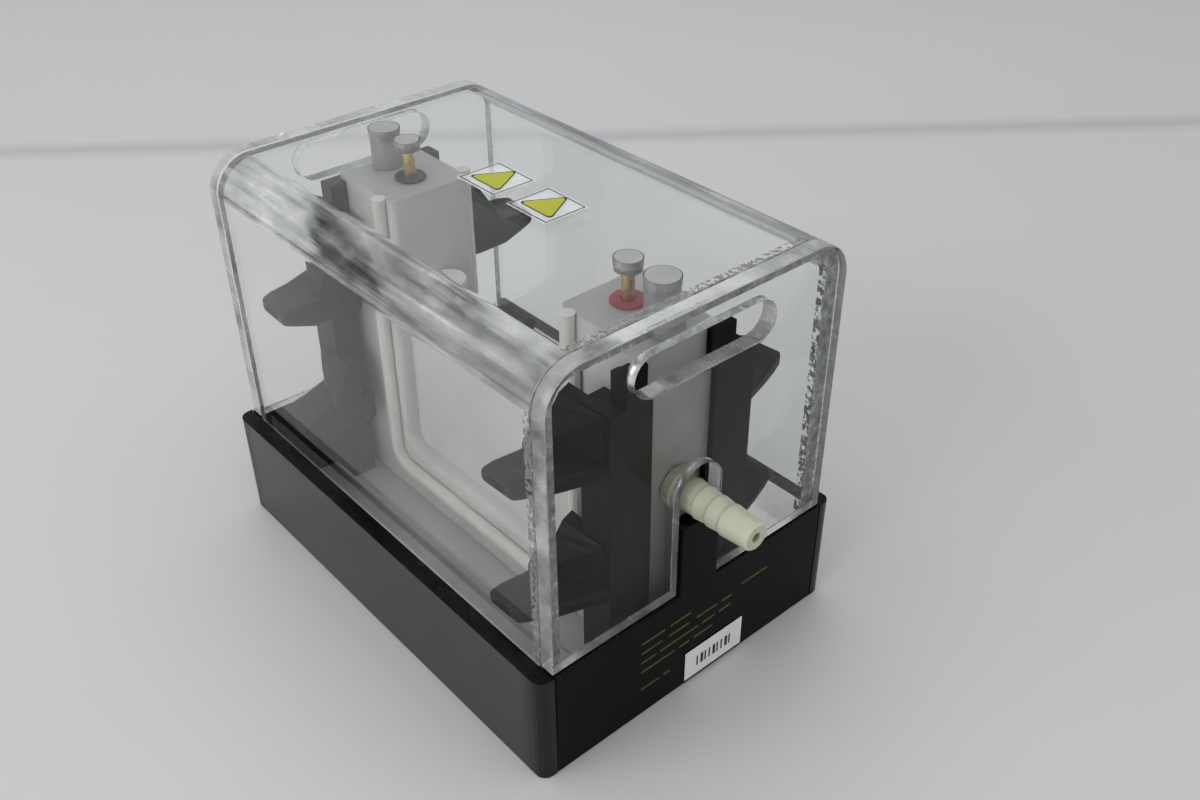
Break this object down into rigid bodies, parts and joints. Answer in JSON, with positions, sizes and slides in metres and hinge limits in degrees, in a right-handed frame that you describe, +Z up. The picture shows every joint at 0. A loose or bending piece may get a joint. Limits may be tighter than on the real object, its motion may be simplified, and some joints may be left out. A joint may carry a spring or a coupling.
{
  "type": "gel electrophoresis tank",
  "caption": "Vertical gel electrophoresis tank: black tray, clear lift-off lid with hand slots, grey U-shaped gel core with gaskets, winged side clamps and a front hose barb.",
  "frame": {"origin": "bottom of the tray on the table, under the middle of the tray", "axes": "+Z up; +Y along the tank's long axis, away from the hose barb; +X across the tank to the right, seen from the hose barb"},
  "size_m": [0.136, 0.2128, 0.1536],
  "materials": {
    "black_acrylic": "polished, sawn at the wall ends",
    "grey_pvc": "satin, machined",
    "white_silicone": "matte",
    "black_plastic": "satin moulded",
    "clear_acrylic": "clear and polished, sawn and glued edges",
    "milky_acrylic": "milky translucent",
    "natural_nylon": "translucent natural nylon",
    "brass": "gold plated",
    "red_washer": "moulded",
    "black_washer": "moulded",
    "yellow_film": "printed film",
    "white_film": "blank film"
  },
  "bodies": {
    "tank": {"tray_floor": "grey_pvc", "tray_wall_left": "black_acrylic", "tray_wall_right": "black_acrylic", "tray_wall_front": "black_acrylic", "tray_wall_rear": "black_acrylic", "tray_sticker": "white_film", "core_foot": "grey_pvc", "core_frame": "grey_pvc", "gasket_left": "white_silicone", "gasket_right": "white_silicone", "filler_plug": "white_silicone", "contact_washer_front": "red_washer", "contact_washer_rear": "black_washer", "contact_pin_front": "brass", "contact_pin_rear": "brass", "hose_barb": "natural_nylon"},
    "lid": {"lid_shell": "clear_acrylic", "lid_end_front": "clear_acrylic", "lid_end_rear": "clear_acrylic", "lid_post_front": "milky_acrylic", "lid_post_rear": "milky_acrylic", "lid_socket_front": "milky_acrylic", "lid_socket_rear": "milky_acrylic", "lid_sticker_front": "yellow_film", "lid_sticker_rear": "yellow_film"},
    "clamp_front_left": {"clamp_front_left": "black_plastic"},
    "clamp_front_right": {"clamp_front_right": "black_plastic"},
    "clamp_rear_left": {"clamp_rear_left": "black_plastic"},
    "clamp_rear_right": {"clamp_rear_right": "black_plastic"}
  },
  "joints": [
    {"name": "lid_lift", "type": "slide", "parent": "tank", "child": "lid", "axis": [0, 0, 1], "range_m": [0, 0.2]},
    {"name": "clamp_front_left_lift", "type": "slide", "parent": "tank", "child": "clamp_front_left", "axis": [0, 0, 1], "range_m": [0, 0.126]},
    {"name": "clamp_front_right_lift", "type": "slide", "parent": "tank", "child": "clamp_front_right", "axis": [0, 0, 1], "range_m": [0, 0.126]},
    {"name": "clamp_rear_left_lift", "type": "slide", "parent": "tank", "child": "clamp_rear_left", "axis": [0, 0, 1], "range_m": [0, 0.126]},
    {"name": "clamp_rear_right_lift", "type": "slide", "parent": "tank", "child": "clamp_rear_right", "axis": [0, 0, 1], "range_m": [0, 0.126]}
  ],
  "couplings": [
    {"joint": "clamp_front_left_lift", "follows": "lid_lift", "ratio": 0.63},
    {"joint": "clamp_front_right_lift", "follows": "lid_lift", "ratio": 0.63},
    {"joint": "clamp_rear_left_lift", "follows": "lid_lift", "ratio": 0.63},
    {"joint": "clamp_rear_right_lift", "follows": "lid_lift", "ratio": 0.63}
  ]
}
